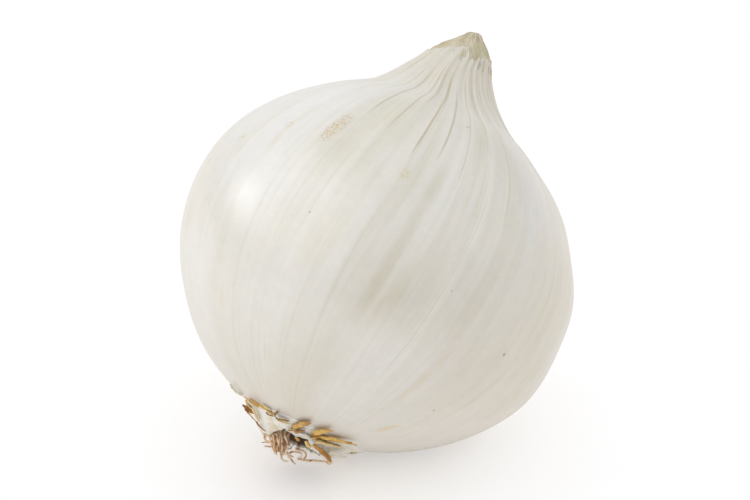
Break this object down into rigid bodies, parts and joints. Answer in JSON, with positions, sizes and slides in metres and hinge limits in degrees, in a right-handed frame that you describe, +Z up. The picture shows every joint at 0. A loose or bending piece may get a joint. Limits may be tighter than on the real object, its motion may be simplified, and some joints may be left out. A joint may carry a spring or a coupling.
{
  "type": "onion",
  "caption": "Whole white onion lying on its flank, with a pleated neck drawn in to a dried tip, a root plate ringed by torn golden skin, and a tuft of dried roots.",
  "frame": {"origin": "middle of the small flat spot that the onion rests on", "axes": "+Z up; the bulb's own axis lies in the XZ plane, leaning 39.5 degrees from +Z, with the neck towards +X and the roots towards -X"},
  "size_m": [0.0862, 0.091, 0.088],
  "materials": {
    "white_skin": "smooth dry onion skin, softly glossy",
    "dried_root": "dry, matt, fibrous",
    "golden_scrap": "dry papery skin, satin"
  },
  "bodies": {
    "root": {"bulb": "white_skin", "root_tuft": "dried_root", "torn_skin": "golden_scrap"}
  },
  "joints": []
}
